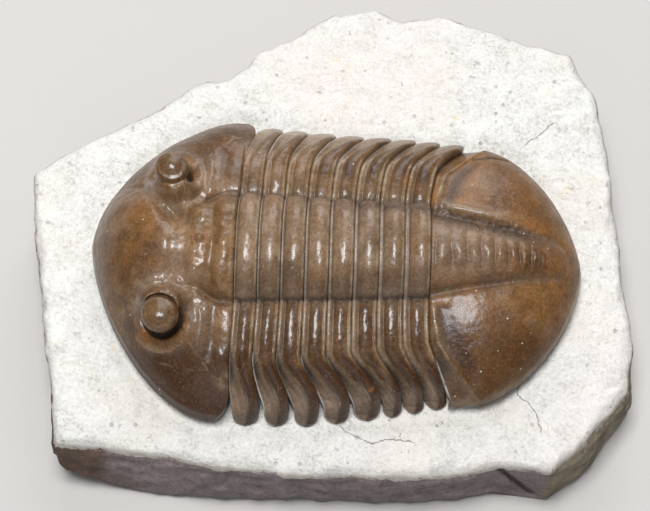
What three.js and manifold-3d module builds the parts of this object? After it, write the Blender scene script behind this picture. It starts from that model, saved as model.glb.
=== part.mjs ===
// A trilobite lying on a slab of limestone. Millimetres, +Z up, +X from head to tail.
// The origin is the centre of the slab's underside.
import * as THREE from 'three';
import { mergeVertices } from 'three/addons/utils/BufferGeometryUtils.js';
import Module from 'manifold-3d';

const wasm = await Module();
wasm.setup();

// ---- driving dimensions ----

const slabHeight = 13;
const seatGap = 0.3;                 // between two pieces that touch
const seat = slabHeight + seatGap;   // underside of every plate of the shell
const slabFlare = 1.3;               // how far the near face runs out towards its foot
const slabLeftFlare = 2;             // and how much further at its left end
const midlineY = -6.7;               // the body lies a little to one side of the slab
const headTurnX = -16;               // ahead of this the midline turns slightly to the left
const headTurn = 0.007;              // by this much per millimetre squared
const tailTurnX = 0;                 // and behind this one, less so
const tailTurn = 0.00095;
const skew = 0.0022;                 // the left tips trail the right ones, per millimetre squared
const skewTurn = 12;                 // and within this distance of the midline they lead

const headRear = -12.4;              // rear edge of the head shield on the midline
const headCentre = -14.5;            // where the head shield is widest
const headLength = 19.4;             // from there to the front margin
const headHalfWidth = 22.7;
const outlineRoundness = 1.62;       // exponent of the end shields' outlines, 2 is an ellipse
const genalStart = 19.5;             // the genal angle is rounded from here outwards
const headMargin = 1.6;              // thickness of the shield at its margin
const headDome = 23.2;               // height of the cheeks' dome over the slab's foot
const genalBlunt = 0.15;             // cut off each genal angle, which would else be a knife edge
const glabellaRise = 3.5;
const glabellaFrontX = -25;          // its front lobe is wide
const glabellaWaistX = -17;          // and it is waisted between the eyes
const glabellaFrontHalfWidth = 9;
const glabellaWaistHalfWidth = 7;
const glabellaSlopeX = -22;          // it falls away ahead of this
const glabellaSlopeLength = 8.5;
const neckFurrowX = -15.8;
const neckFurrowSize = 0.9;          // depth and half width
const domePower = 2.6;               // the domes are flat on top and steep at the margin
const domeShoulder = 0.6;
const eyeX = -22; 
const eyeSide = 10.4;                // from the midline to an eye stalk's foot
const eyeLean = 9;                   // degrees, outwards
const eyeFoot = 20;
const eyeHeight = 7.2;
const eyeStalkRadius = 1.9;
const eyeRadius = 2.4;

const segmentCount = 8;
const ringLength = 3.1;              // first ring; each later one is a little longer
const ringGrowth = 0.033;
const firstSweep = 0.9;              // how far the foremost tips trail behind their rings
const fullSweep = 5.5;               // and the rearmost
const fullSweepAt = 5.5;             // segments from the head to the full sweep
const axisHalfWidth = 7.4;
const axisRise = 4.1;                // crest of a ring over the furrow beside it
const kneeSide = 14;                 // where the side lobes bend down
const furrowHeightFront = 22.7;
const furrowHeightRear = 21.9;
const kneeDrop = 1.1;
const ringSwell = 0.5;               // each plate bulges between its joints
const pleuraSwell = 0.35;
const firstTipSide = 22.7;           // half width of the thorax at its front
const tipSideLoss = 0.38;            // each segment reaches this much less far
const tipThickness = 1.2;
const tipRound = 2.4;
const tipTaper = 0.85;               // share of the tip's width that its rounding takes
const tipSpacing = 0.25;             // extra room between tips

const tailCentre = 22;               // where the tail shield is widest
const tailLength = 14.7;
const tailHalfWidth = 19.4;
const tailCorner = 19.2;             // its front corners are cut off here
const tailMargin = 1.8;
const tailDome = 22.3;
const tailAxisHalfWidth = 6.4;
const tailAxisEndHalfWidth = 1.6;
const tailAxisEnd = 32.5;
const tailAxisRound = 3;             // length of its rounded end
const tailAxisRise = 4;
const tailAxisEndRise = 2;

const radians = THREE.MathUtils.degToRad;
const ramp = (value, from, to) => THREE.MathUtils.clamp((value - from) / (to - from), 0, 1);
const mix = THREE.MathUtils.lerp;

// ---- materials ----

function stone(colour, roughness) {
  return new THREE.MeshStandardMaterial({ color: colour, roughness, metalness: 0 });
}

const limestone = stone(0xdcd8cf, 0.95);
const headCalcite = stone(0x7c5a40, 0.35);
const thoraxCalcite = stone(0x856950, 0.35);
const tailCalcite = stone(0x83603f, 0.35);

// ---- solids ----

function toSolid(geometry) {
  const bare = geometry.clone();
  bare.deleteAttribute('normal');
  bare.deleteAttribute('uv');
  const merged = mergeVertices(bare, 1e-4);
  return new wasm.Manifold(new wasm.Mesh({
    numProp: 3,
    vertProperties: new Float32Array(merged.attributes.position.array),
    triVerts: new Uint32Array(merged.index.array),
  }));
}

function toGeometry(solid) {
  const mesh = solid.getMesh();
  const geometry = new THREE.BufferGeometry();
  geometry.setAttribute('position', new THREE.BufferAttribute(new Float32Array(mesh.vertProperties), 3));
  geometry.setIndex(new THREE.BufferAttribute(new Uint32Array(mesh.triVerts), 1));
  geometry.computeVertexNormals();
  return geometry;
}

// The body's midline turns a little at both ends; side is the distance from it, positive to the left.
function onBody(x, side) {
  const ahead = Math.max(0, headTurnX - x);
  const behind = Math.max(0, x - tailTurnX);
  const y = midlineY + headTurn * ahead ** 2 + tailTurn * behind ** 2 + side;
  return [x + skew * side * (Math.abs(side) - skewTurn), y];
}

// Distance of a point from a shield's centre, 1 on its outline, from its shares of length and width.
function outlineReach(lengthShare, widthShare) {
  return (lengthShare ** outlineRoundness + widthShare ** outlineRoundness) ** (1 / outlineRoundness);
}

function outlineLength(widthShare) {
  return (1 - widthShare ** outlineRoundness) ** (1 / outlineRoundness);
}

function domeHeight(reach, margin, top) {
  return margin + (top - margin) * Math.max(0, 1 - reach ** domePower) ** domeShoulder;
}

// Spreads a plate's columns, close together towards the tips, from -tip to tip.
function spreadTo(tip) {
  return (share) => tip * Math.sin(share * Math.PI / 2);
}

// A plate of the shell is a block bent to shape: front edge to rear edge along, tip to tip across.
function plate(rows, columns, sideAt, edgesAt, heightAt) {
  const block = new THREE.BoxGeometry(1, 2, 1, rows, columns, 1);
  const place = block.attributes.position;
  for (let i = 0; i < place.count; i++) {
    const along = place.getX(i) + 0.5;
    const side = sideAt(place.getY(i));
    const [front, rear] = edgesAt(Math.abs(side));
    const x = mix(front, rear, along);
    const isTop = place.getZ(i) > 0;
    const [px, py] = onBody(x, side);
    place.setXYZ(i, px, py, isTop ? heightAt(x, Math.abs(side), along) : seat);
  }
  block.computeVertexNormals();
  return block;
}

// ---- slab ----

// The broken outline of the slab's upper face, anticlockwise from its left corner.
const slabOutline = [
  [-44, 7.6], [-42.4, -3], [-39, -21], [-36.4, -32.8],
  [-30, -33.2], [-16, -34.7], [-5, -35.8], [6, -35.5], [16, -35.1], [25.5, -33.2], [32.4, -33.7],
  [36, -30.7], [43.4, -21.8], [44.1, -14.5], [42.4, 1], [41, 15], [39.4, 23.4], [35.7, 31.1],
  [28, 33], [21.6, 35.2], [15.6, 36.7], [9.9, 35.3], [5.6, 37.3], [-1.3, 35.8],
  [-5.1, 33.5], [-11.4, 29.1], [-15.7, 24.8], [-20.5, 23.3], [-27.7, 18], [-37.3, 12.3],
];

// A tilted box that breaks off a lower edge: its inner face passes through a point and looks
// outwards along a heading and down by a slope.
function edgeBreaker(x, y, z, heading, slope) {
  const depth = 20;
  const box = new THREE.BoxGeometry(depth, 60, 30);
  box.translate(depth / 2, 0, 0);
  box.rotateY(radians(slope));
  box.rotateZ(radians(heading));
  box.translate(x, y, z);
  return toSolid(box);
}

function slabSolid() {
  const outline = new THREE.Shape(slabOutline.map(([x, y]) => new THREE.Vector2(x, y)));
  const block = new THREE.ExtrudeGeometry(outline, { depth: slabHeight, steps: 3, bevelEnabled: false });
  const place = block.attributes.position;
  for (let i = 0; i < place.count; i++) {
    const foot = 1 - place.getZ(i) / slabHeight;
    const nearSide = ramp(-place.getY(i), 15, 30);
    const flare = slabFlare + slabLeftFlare * ramp(-place.getX(i), 5, 20);
    place.setY(i, place.getY(i) - flare * foot * nearSide);
  }
  return toSolid(block)
    .subtract(edgeBreaker(-38, -32, 5, 225, 45))
    .subtract(edgeBreaker(41, -28.5, 4, -42, 45))
    .subtract(edgeBreaker(0, -37.4, 1.5, -90, 55))
    .subtract(edgeBreaker(36, 31, 5, 45, 45));
}

function slabGeometry() {
  const geometry = toGeometry(slabSolid());
  geometry.computeBoundingBox();
  const centre = geometry.boundingBox.getCenter(new THREE.Vector3());
  geometry.translate(-centre.x, -centre.y, 0);
  return geometry;
}

// ---- head shield ----

function headEdges(side) {
  const front = headCentre - headLength * outlineLength(side / headHalfWidth);
  const turn = ramp(side, genalStart, headHalfWidth);
  const rear = headCentre + (headRear - headCentre) * Math.sqrt(1 - turn ** 2);
  return [front, rear];
}

function headHeight(x, side) {
  const ahead = Math.max(0, headCentre - x) / headLength;
  const dome = domeHeight(outlineReach(ahead, side / headHalfWidth), seat + headMargin, headDome);
  const waist = ramp(x, glabellaFrontX, glabellaWaistX);
  const lobeHalfWidth = mix(glabellaFrontHalfWidth, glabellaWaistHalfWidth, waist);
  const lobeAcross = Math.exp(-((side / lobeHalfWidth) ** 4));
  const lobeAlong = Math.exp(-((Math.max(0, glabellaSlopeX - x) / glabellaSlopeLength) ** 4));
  const neckFurrow = neckFurrowSize * Math.exp(-(((x - neckFurrowX) / neckFurrowSize) ** 2));
  return dome + glabellaRise * lobeAcross * lobeAlong - neckFurrow;
}

// Knob on a short stalk, turned on its own axis.
function eyeSolid(direction) {
  const profile = new THREE.Path();
  profile.moveTo(0, 0);
  profile.lineTo(eyeStalkRadius * 1.5, 0);
  profile.quadraticCurveTo(eyeStalkRadius, eyeHeight * 0.3, eyeStalkRadius, eyeHeight * 0.45);
  profile.quadraticCurveTo(eyeRadius, eyeHeight * 0.5, eyeRadius, eyeHeight * 0.72);
  profile.quadraticCurveTo(eyeRadius, eyeHeight, 0, eyeHeight);
  const knob = new THREE.LatheGeometry(profile.getPoints(4), 16);
  knob.rotateX(Math.PI / 2);
  knob.rotateX(-radians(eyeLean) * direction);
  const [x, y] = onBody(eyeX, eyeSide * direction);
  knob.translate(x, y, eyeFoot);
  return toSolid(knob);
}

function headGeometry() {
  const shield = plate(18, 28, spreadTo(headHalfWidth - genalBlunt), headEdges, headHeight);
  return toGeometry(toSolid(shield).add(eyeSolid(1)).add(eyeSolid(-1)));
}

// ---- thorax ----

// Place of the joint in front of segment k, at a distance from the midline.
function jointX(k, side) {
  const sweep = mix(firstSweep, fullSweep, THREE.MathUtils.smoothstep(k, 0, fullSweepAt));
  const tipSide = firstTipSide - tipSideLoss * k;
  const out = Math.max(0, side - kneeSide) / (tipSide - kneeSide);
  return headRear + ringLength * k + ringGrowth * k * k + sweep * out ** 1.3;
}

// Cross-section of the thorax: a high axis, a furrow, a level inner lobe, then a drop to the tip.
function thoraxHeight(x, side, tipSide) {
  const furrow = mix(furrowHeightFront, furrowHeightRear, ramp(x, -12, 15));
  if (side < axisHalfWidth) {
    return furrow + axisRise * (1 - (side / axisHalfWidth) ** 2.4) ** 0.8;
  }
  const knee = furrow - kneeDrop;
  if (side < kneeSide) {
    return mix(furrow, knee, ramp(side, axisHalfWidth, kneeSide) ** 2);
  }
  const tip = seat + tipThickness;
  const drop = ramp(side, kneeSide, tipSide);
  return tip + (knee - tip) * Math.cos(drop * Math.PI / 2) ** 0.8;
}

function segmentGeometry(k) {
  const tipSide = firstTipSide - tipSideLoss * k;
  const halfGap = seatGap / 2;

  function edges(side) {
    const front = jointX(k, side) + halfGap;
    const rear = jointX(k + 1, side) - halfGap;
    const turn = ramp(side, tipSide - tipRound, tipSide);
    const narrowing = (1 - Math.sqrt(1 - tipTaper * turn ** 2)) * (rear - front) / 2;
    const spacing = tipSpacing * ramp(side, kneeSide, tipSide);
    return [front + narrowing + spacing, rear - narrowing - spacing];
  }

  function height(x, side, along) {
    const swell = mix(ringSwell, pleuraSwell, ramp(side, axisHalfWidth, kneeSide));
    return thoraxHeight(x, side, tipSide) + swell * Math.sin(Math.PI * along);
  }

  return plate(4, 30, spreadTo(tipSide), edges, height);
}

// ---- tail shield ----

function tailEdges(side) {
  const front = jointX(segmentCount, side) + seatGap / 2;
  const rear = tailCentre + tailLength * outlineLength(side / tailHalfWidth);
  return [front, rear];
}

function tailHeight(x, side) {
  const behind = Math.max(0, x - tailCentre) / tailLength;
  const dome = domeHeight(outlineReach(behind, side / tailHalfWidth), seat + tailMargin, tailDome);
  const taper = ramp(x, jointX(segmentCount, 0), tailAxisEnd);
  const halfWidth = mix(tailAxisHalfWidth, tailAxisEndHalfWidth, taper);
  const endRound = Math.sqrt(1 - ramp(x, tailAxisEnd - tailAxisRound, tailAxisEnd) ** 2);
  const ridge = Math.max(0, 1 - (side / halfWidth) ** 2) ** 0.8 * endRound;
  return dome + mix(tailAxisRise, tailAxisEndRise, taper) * ridge;
}

function tailGeometry() {
  return plate(16, 30, spreadTo(tailCorner), tailEdges, tailHeight);
}

// ---- assembly ----

const group = new THREE.Group();

function addPiece(name, geometry, material) {
  const piece = new THREE.Mesh(geometry, material);
  piece.name = name;
  group.add(piece);
}

addPiece('limestone_matrix', slabGeometry(), limestone);
addPiece('cephalon', headGeometry(), headCalcite);
for (let k = 0; k < segmentCount; k++) {
  addPiece(`thoracic_segment_${k + 1}`, segmentGeometry(k), thoraxCalcite);
}
addPiece('pygidium', tailGeometry(), tailCalcite);

export default group;
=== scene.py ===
import math

import bmesh
import bpy
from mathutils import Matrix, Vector, noise


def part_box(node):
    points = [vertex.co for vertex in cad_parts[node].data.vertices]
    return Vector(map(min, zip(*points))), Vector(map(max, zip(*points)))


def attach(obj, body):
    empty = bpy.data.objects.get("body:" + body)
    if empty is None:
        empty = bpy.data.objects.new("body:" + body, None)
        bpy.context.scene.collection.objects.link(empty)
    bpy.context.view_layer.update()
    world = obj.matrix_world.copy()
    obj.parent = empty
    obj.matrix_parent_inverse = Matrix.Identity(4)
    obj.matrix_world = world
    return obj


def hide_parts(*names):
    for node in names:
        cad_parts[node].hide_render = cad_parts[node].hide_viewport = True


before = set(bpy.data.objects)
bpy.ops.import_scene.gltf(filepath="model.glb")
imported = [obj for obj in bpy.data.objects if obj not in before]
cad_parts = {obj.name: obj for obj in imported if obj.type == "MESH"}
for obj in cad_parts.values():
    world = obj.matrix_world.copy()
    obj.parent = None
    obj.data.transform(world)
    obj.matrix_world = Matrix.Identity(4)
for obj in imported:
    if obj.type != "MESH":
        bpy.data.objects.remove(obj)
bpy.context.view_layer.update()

mm = 0.001
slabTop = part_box("limestone_matrix")[1][2] / mm
print("frame loaded, slab top at", round(slabTop, 2), "mm")


# small helpers for shaping; everything is shaped in millimetres

def mix(a, b, share):
    return a + (b - a) * share


def ramp(value, start, end):
    return min(1.0, max(0.0, (value - start) / (end - start)))


def ease(value, start, end):
    t = ramp(value, start, end)
    return t * t * (3 - 2 * t)


def bell(value, centre, width):
    return math.exp(-((value - centre) / width) ** 2)


def rough(x, y, size, seed=0.0):
    return noise.noise(Vector((x / size + seed, y / size - seed, seed)))


# distance from a point to a line drawn through a few points
def awayFrom(path, x, y):
    nearest = 1e9
    for (ax, ay), (bx, by) in zip(path, path[1:]):
        dx, dy = bx - ax, by - ay
        t = ramp((x - ax) * dx + (y - ay) * dy, 0, dx * dx + dy * dy)
        nearest = min(nearest, math.hypot(x - ax - t * dx, y - ay - t * dy))
    return nearest


def gridSheet(columns, rows):
    bm = bmesh.new()
    bmesh.ops.create_grid(bm, x_segments=columns, y_segments=rows, size=1.0)
    return bm


# drops a wall from the open rim to the foot, a little inwards, paints shade down it, darker towards the foot,
# and closes it underneath
def closeBelow(bm, foot, centre, inset, wallShadeMark):
    rim = [e for e in bm.edges if e.is_boundary]
    for depth, inwards in ((0.35, 0.15), (0.75, 0.7), (1.0, 1.0)):
        made = bmesh.ops.extrude_edge_only(bm, edges=rim)["geom"]
        rim = [g for g in made if isinstance(g, bmesh.types.BMEdge) and g.is_boundary]
        for v in (g for g in made if isinstance(g, bmesh.types.BMVert)):
            outward = Vector((v.co.x - centre[0], v.co.y - centre[1], 0)).normalized()
            v.co -= outward * inset * inwards
            v.co.z = mix(v.co.z, foot, depth)
            v[wallShadeMark] = depth ** 2
    bmesh.ops.edgeloop_fill(bm, edges=rim)
    bmesh.ops.recalc_face_normals(bm, faces=bm.faces)


def makePiece(bm, name, node, material):
    bmesh.ops.scale(bm, vec=(mm, mm, mm), verts=bm.verts)
    mesh = bpy.data.meshes.new(name)
    bm.to_mesh(mesh)
    bm.free()
    for face in mesh.polygons:
        face.use_smooth = True
    mesh.materials.append(material)
    piece = bpy.data.objects.new(name, mesh)
    bpy.context.scene.collection.objects.link(piece)
    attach(piece, "root")
    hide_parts(node)
    print("made", name, "with", len(mesh.polygons), "faces")


# a socket that takes part in sums, so that shader maths reads as plain expressions
class Wire:
    def __init__(self, graph, socket):
        self.graph = graph
        self.socket = socket

    def maths(self, operation, *values):
        sockets = dict(enumerate(values))
        return self.graph.node("ShaderNodeMath", {"operation": operation}, sockets)

    def __add__(self, other):
        return self.maths("ADD", self, other)

    def __radd__(self, other):
        return self.maths("ADD", other, self)

    def __sub__(self, other):
        return self.maths("SUBTRACT", self, other)

    def __rsub__(self, other):
        return self.maths("SUBTRACT", other, self)

    def __mul__(self, other):
        return self.maths("MULTIPLY", self, other)

    def __rmul__(self, other):
        return self.maths("MULTIPLY", other, self)

    def size(self):
        return self.maths("ABSOLUTE", self)

    def within(self, low, high):
        return self.graph.node("ShaderNodeMapRange", {"interpolation_type": "SMOOTHSTEP"},
                               {0: self, 1: low, 2: high, 3: 0.0, 4: 1.0})


class Graph:
    def __init__(self, name):
        self.material = bpy.data.materials.new(name)
        self.material.use_nodes = True
        self.tree = self.material.node_tree
        self.tree.nodes.clear()
        self.place = self.node("ShaderNodeTexCoord", out="Object")

    # any node: its settings first, then the values or wires of its sockets
    def node(self, kind, settings=None, sockets=None, out=0):
        made = self.tree.nodes.new(kind)
        for name, value in (settings or {}).items():
            if name == "stops":
                self.setStops(made.color_ramp, value)
            else:
                setattr(made, name, value)
        for key, value in (sockets or {}).items():
            if isinstance(value, Wire):
                self.tree.links.new(value.socket, made.inputs[key])
            else:
                made.inputs[key].default_value = value
        return Wire(self, made.outputs[out]) if made.outputs else None

    def setStops(self, colourRamp, stops):
        while len(colourRamp.elements) < len(stops):
            colourRamp.elements.new(1.0)
        for element, (position, colour) in zip(colourRamp.elements, stops):
            element.position = position
            element.color = (*colour, 1.0)

    def noise(self, scale, detail=3.0, roughness=0.55, place=None):
        return self.node("ShaderNodeTexNoise", {},
                         {"Vector": place or self.place, "Scale": scale, "Detail": detail,
                          "Roughness": roughness})

    def mark(self, name):
        return self.node("ShaderNodeAttribute", {"attribute_name": name}, out="Fac")

    def blend(self, share, a, b, mode="MIX"):
        a, b = [(*c, 1.0) if isinstance(c, tuple) else c for c in (a, b)]
        return self.node("ShaderNodeMix", {"data_type": "RGBA", "blend_type": mode},
                         {0: share, 6: a, 7: b}, out=2)

    def ramped(self, value, stops):
        return self.node("ShaderNodeValToRGB", {"stops": stops}, {0: value})

    # round spots: one in some of the cells of a voronoi pattern
    def spots(self, scale, size, share):
        cells = {"Vector": self.place, "Scale": scale, "Randomness": 1.0}
        distance = self.node("ShaderNodeTexVoronoi", {}, cells, out="Distance")
        chance = self.node("ShaderNodeTexVoronoi", {}, cells, out="Color")
        pick = self.node("ShaderNodeSeparateColor", {}, {0: chance}, out=0)
        return (1 - distance.within(size * 0.6, size)) * pick.within(1 - share, 1 - share + 0.01)

    def finish(self, colour, roughness, normal, others):
        shader = self.node("ShaderNodeBsdfPrincipled", {},
                           {"Base Color": colour, "Roughness": roughness, "Normal": normal, **others})
        self.node("ShaderNodeOutputMaterial", {}, {"Surface": shader})
        return self.material

    def bump(self, height, strength, distance, below=None):
        sockets = {"Strength": strength, "Distance": distance, "Height": height}
        if below:
            sockets["Normal"] = below
        return self.node("ShaderNodeBump", {}, sockets, out="Normal")


# polished fossil calcite; the marks on each plate say where it is worn pale, veiled, dark brown, rusty or
# dirty, and where shade and a few highlights are painted into its colour
def calcite(name, look):
    g = Graph(name)
    blotch = g.noise(look["blotchScale"], 4.0, 0.6)
    cloud = g.noise(430, 4.0, 0.6)
    grain = g.noise(2600, 3.0, 0.65)
    tone = blotch * 0.6 + cloud * 0.4
    colour = g.ramped(tone, [(0.34, look["dark"]), (0.5, look["middle"]), (0.66, look["light"])])
    warm = g.noise(170, 3.0, 0.5).within(0.5, 0.72) * look["warmth"]
    colour = g.blend(warm, colour, look["warm"])
    colour = g.blend(g.noise(300, 4.0, 0.6).within(0.5, 0.68) * 0.4, colour, look["olive"])
    colour = g.blend(g.noise(210, 3.0, 0.6).within(0.54, 0.7) * 0.35, colour, look["veil"])
    # dark brown: the plates' own darker brown, and painted shade that darkens the slopes facing the near side
    colour = g.blend(g.mark("umber") * (0.75 + 0.5 * blotch), colour, look["umber"])
    # grey veil: a grey film over parts of the shell, and painted sheen over the glabella's middle and the
    # tail's far lip
    colour = g.blend(g.mark("veil") * (0.2 + 0.8 * cloud), colour, look["veil"])
    # pale: worn pale edges and ridges, and painted highlights on the median knob and the tail's far lip
    colour = g.blend(g.mark("pale") * g.noise(520, 3.0, 0.6).within(0.3, 0.7), colour, look["pale"])
    # near-black: dirt in cracks and crumbled ground, and painted shade in furrows, recesses, joints and down
    # the plates' walls
    colour = g.blend(g.mark("dirt") * 0.85, colour, look["dirt"])
    rustPlace = g.noise(260, 5.0, 0.75).within(0.58, 0.68) * g.noise(1300, 2.0).within(0.4, 0.62)
    rust = g.noise(1500, 3.0, 0.6).within(0.62, 0.7) * look["rustiness"] * 0.5
    rust = rust * g.noise(150, 2.0).within(0.5, 0.6) + g.mark("rust") * rustPlace
    colour = g.blend(rust.within(0.0, 1.0) * 0.6, colour, look["rust"])
    colour = g.blend(grain.within(0.35, 0.7) * 0.6, colour, look["grain"], "MULTIPLY")
    colour = g.blend((1 - grain).within(0.52, 0.8) * 0.24, colour, look["speckle"])
    hair = g.noise(75, 0.0, 0.4)
    scratch = (1 - hair.within(0.5, 0.5012)) * hair.within(0.4988, 0.5) * g.noise(240, 2.0).within(0.5, 0.6)
    colour = g.blend(scratch * look["scratches"], colour, look["scratch"])
    colour = g.blend(g.spots(900, 0.13, look["flecks"]) * 0.8, colour, look["fleck"])
    colour = g.blend(g.spots(2300, 0.2, 0.05) * 0.6, colour, look["paleDot"])
    colour = g.blend(g.spots(1900, 0.22, 0.05) * 0.6, colour, look["darkDot"])
    cement = g.mark("cement") * g.noise(900, 2.0).within(0.2, 0.45)
    colour = g.blend(cement, colour, look["cement"])
    smear = g.noise(700, 4.0, 0.7)
    roughness = look["roughness"] + 0.2 * (smear - 0.5) + 0.35 * g.mark("dirt") + 0.4 * cement
    wrinkle = g.bump(g.noise(1200, 3.0, 0.5), look["bump"], 0.0002)
    fine = g.bump(g.noise(3100, 2.0, 0.5), 0.4, 0.00006, wrinkle)
    pits = g.bump(1 - g.spots(1500, 0.3, 0.12), 0.3, 0.0001, fine)
    # no coat where the painted shade or dirt lies
    coatShare = 1 - (g.mark("dirt") * 2.2).within(0.0, 1.0)
    return g.finish(colour, roughness, pits, {
        "Specular IOR Level": 0.34, "Specular Tint": (0.8, 0.9, 1.0, 1.0),
        "Coat Weight": look["coat"] * coatShare, "Coat Roughness": 0.13})


headLook = {
    "dark": (0.07, 0.032, 0.011), "middle": (0.15, 0.074, 0.026), "light": (0.25, 0.14, 0.062),
    "olive": (0.14, 0.1, 0.04), "warm": (0.26, 0.11, 0.026), "warmth": 0.6, "veil": (0.26, 0.195, 0.145),
    "pale": (0.42, 0.34, 0.21), "dirt": (0.04, 0.033, 0.026), "umber": (0.056, 0.022, 0.006),
    "grain": (0.5, 0.42, 0.33), "speckle": (0.28, 0.18, 0.1), "paleDot": (0.5, 0.43, 0.34),
    "darkDot": (0.03, 0.02, 0.015), "cement": (0.78, 0.76, 0.73),
    "rust": (0.4, 0.15, 0.035), "rustiness": 0.9, "fleck": (0.62, 0.57, 0.5), "flecks": 0.05,
    "scratch": (0.42, 0.35, 0.26), "scratches": 0.4,
    "blotchScale": 105, "roughness": 0.34, "bump": 0.5, "coat": 0.3,
}
thoraxLook = {
    **headLook,
    "dark": (0.085, 0.045, 0.02), "middle": (0.175, 0.1, 0.047), "light": (0.29, 0.185, 0.103),
    "veil": (0.315, 0.25, 0.198), "pale": (0.42, 0.35, 0.25), "warmth": 0.45, "rustiness": 0.5,
    "flecks": 0.02, "blotchScale": 140,
}
tailLook = {
    **headLook,
    "dark": (0.075, 0.031, 0.009), "middle": (0.165, 0.076, 0.023), "light": (0.27, 0.138, 0.046),
    "warmth": 0.75, "rustiness": 0.6, "flecks": 0.12, "blotchScale": 115, "coat": 0.13, "roughness": 0.36,
}


limestoneLook = {
    "shade": (0.46, 0.44, 0.41), "chalk": (0.66, 0.65, 0.615), "bright": (0.78, 0.775, 0.745),
    "buff": (0.77, 0.7, 0.62), "pink": (0.74, 0.66, 0.64), "yellow": (0.72, 0.6, 0.36),
    "pit": (0.3, 0.28, 0.26), "crack": (0.14, 0.12, 0.11), "rim": (0.42, 0.33, 0.25),
    "brown": (0.12, 0.075, 0.056), "purple": (0.23, 0.185, 0.19), "olive": (0.24, 0.2, 0.14),
    "dust": (0.42, 0.39, 0.36), "bed": (0.42, 0.37, 0.27), "parting": (0.06, 0.045, 0.032),
    # painted shade inside the groove
    "groove": (0.05, 0.032, 0.024),
    "brownEnd": (-0.033, -0.026), "oliveStart": (0.0318, 0.0332),       # places along the near face
}


# chalky limestone: pale and pitted on top, dark and dense on the broken sides
def limestoneMaterial():
    g = Graph("limestone")
    look = limestoneLook
    broad = g.noise(60, 4.0, 0.6)
    patch = g.noise(300, 5.0, 0.7)
    grain = g.noise(2100, 5.0, 0.75)
    tone = patch * 0.35 + grain * 0.65
    top = g.ramped(tone, [(0.36, look["shade"]), (0.47, look["chalk"]), (0.6, look["bright"])])
    top = g.blend(broad.within(0.45, 0.7) * 0.25, top, look["buff"])
    top = g.blend(g.noise(33, 3.0).within(0.5, 0.7) * 0.3, top, look["pink"])
    yellow = g.noise(500, 3.0, 0.6).within(0.62, 0.72) * g.noise(110, 2.0).within(0.45, 0.6)
    top = g.blend(yellow * 0.4, top, look["yellow"])
    pits = g.spots(900, 0.3, 0.05) + g.noise(640, 4.0, 0.7).within(0.66, 0.72)
    top = g.blend(pits.within(0.0, 1.0) * 0.45, top, look["pit"])
    wander = (g.noise(420, 4.0, 0.6) - 0.5) * 1.6
    fromCrack = (g.mark("crackOffset") + wander).size()
    fissure = (1 - fromCrack.within(0.04, 0.13)) * g.mark("crack").within(0.25, 0.5)
    top = g.blend(fissure * 0.75, top, look["crack"])
    rimStain = (g.mark("side") + (patch - 0.5) * 0.7).within(0.2, 0.42)
    top = g.blend(rimStain * 0.4, top, look["rim"])

    # the broken sides: brown at one end, dense purplish grey in the middle, olive at the other
    across = g.node("ShaderNodeSeparateXYZ", {}, {0: g.place}, out=0)
    drift = across + (broad - 0.5) * 0.02
    rock = g.blend(drift.within(*look["brownEnd"]), look["brown"], look["purple"])
    oliveEnd = (across + (broad - 0.5) * 0.005).within(*look["oliveStart"])
    rock = g.blend(oliveEnd, rock, look["olive"])
    shade = g.ramped(patch * 0.5 + grain * 0.5, [(0.32, (0.35, 0.35, 0.35)), (0.5, (0.95, 0.95, 0.95)),
                                                 (0.66, (1.5, 1.48, 1.46))])
    side = g.blend(1.0, rock, shade, "MULTIPLY")
    side = g.blend(g.noise(520, 5.0, 0.75).within(0.62, 0.7) * 0.45, side, look["dust"])
    # thin beds that part along the olive end, and painted shade in the groove
    bedding = g.node("ShaderNodeVectorMath", {"operation": "MULTIPLY"}, {0: g.place, 1: (0.12, 0.12, 1.0)})
    beds = g.noise(900, 4.0, 0.6, bedding)
    parting = 0.12 + 0.88 * oliveEnd
    side = g.blend(beds.within(0.5, 0.66) * 0.3 * parting, side, look["bed"])
    side = g.blend((1 - beds.within(0.36, 0.44)) * 0.7 * parting, side, look["parting"])
    side = g.blend(g.mark("groove").within(0.25, 0.7) * 0.8, side, look["groove"])

    edge = (g.mark("side") + (patch - 0.5) * 0.8 + (grain - 0.5) * 0.6).within(0.42, 0.52)
    colour = g.blend(edge, top, side)
    chalk = g.bump(grain, 0.6, 0.0004)
    pitted = g.bump(1 - pits.within(0.0, 1.0), 0.6, 0.0004, chalk)
    lumps = g.bump(g.noise(600, 5.0, 0.7) + beds * edge * parting * 0.8, 0.5, 0.0009, pitted)
    return g.finish(colour, 0.93 - 0.25 * edge, lumps, {"Specular IOR Level": 0.25})


# the body plan that all plates share
body = {
    "midlineY": -6.7, "headTurnX": -16.0, "headTurn": 0.007, "tailTurn": 0.00095,
    "skew": 0.0022, "skewTurn": 12.0,
    "roundness": 1.62,      # of the two end shields' outlines
    "foot": slabTop - 0.6,  # the plates are set a little into the rock
}


def midline(x):
    ahead = max(0.0, body["headTurnX"] - x)
    return body["midlineY"] + body["headTurn"] * ahead ** 2 + body["tailTurn"] * max(0.0, x) ** 2


def onBody(x, side):
    return x + body["skew"] * side * (abs(side) - body["skewTurn"]), midline(x) + side


def outlineLength(widthShare):
    return (1 - min(1.0, widthShare) ** body["roundness"]) ** (1 / body["roundness"])


def outlineReach(lengthShare, widthShare):
    power = body["roundness"]
    return (lengthShare ** power + widthShare ** power) ** (1 / power)


# how high a point of a plate lies and how strongly each mark shows there
class Relief:
    def __init__(self, z):
        self.z = z
        self.pale = 0.0
        self.dirt = 0.0
        self.veil = 0.0
        self.cement = 0.0
        self.rust = 0.0
        self.umber = 0.0


markNames = ("pale", "dirt", "veil", "cement", "rust", "umber")


def addMarks(bm):
    return {name: bm.verts.layers.float.new(name) for name in markNames}


def setMarks(v, marks, r):
    for name in markNames:
        v[marks[name]] = min(1.0, max(0.0, getattr(r, name)))


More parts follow.
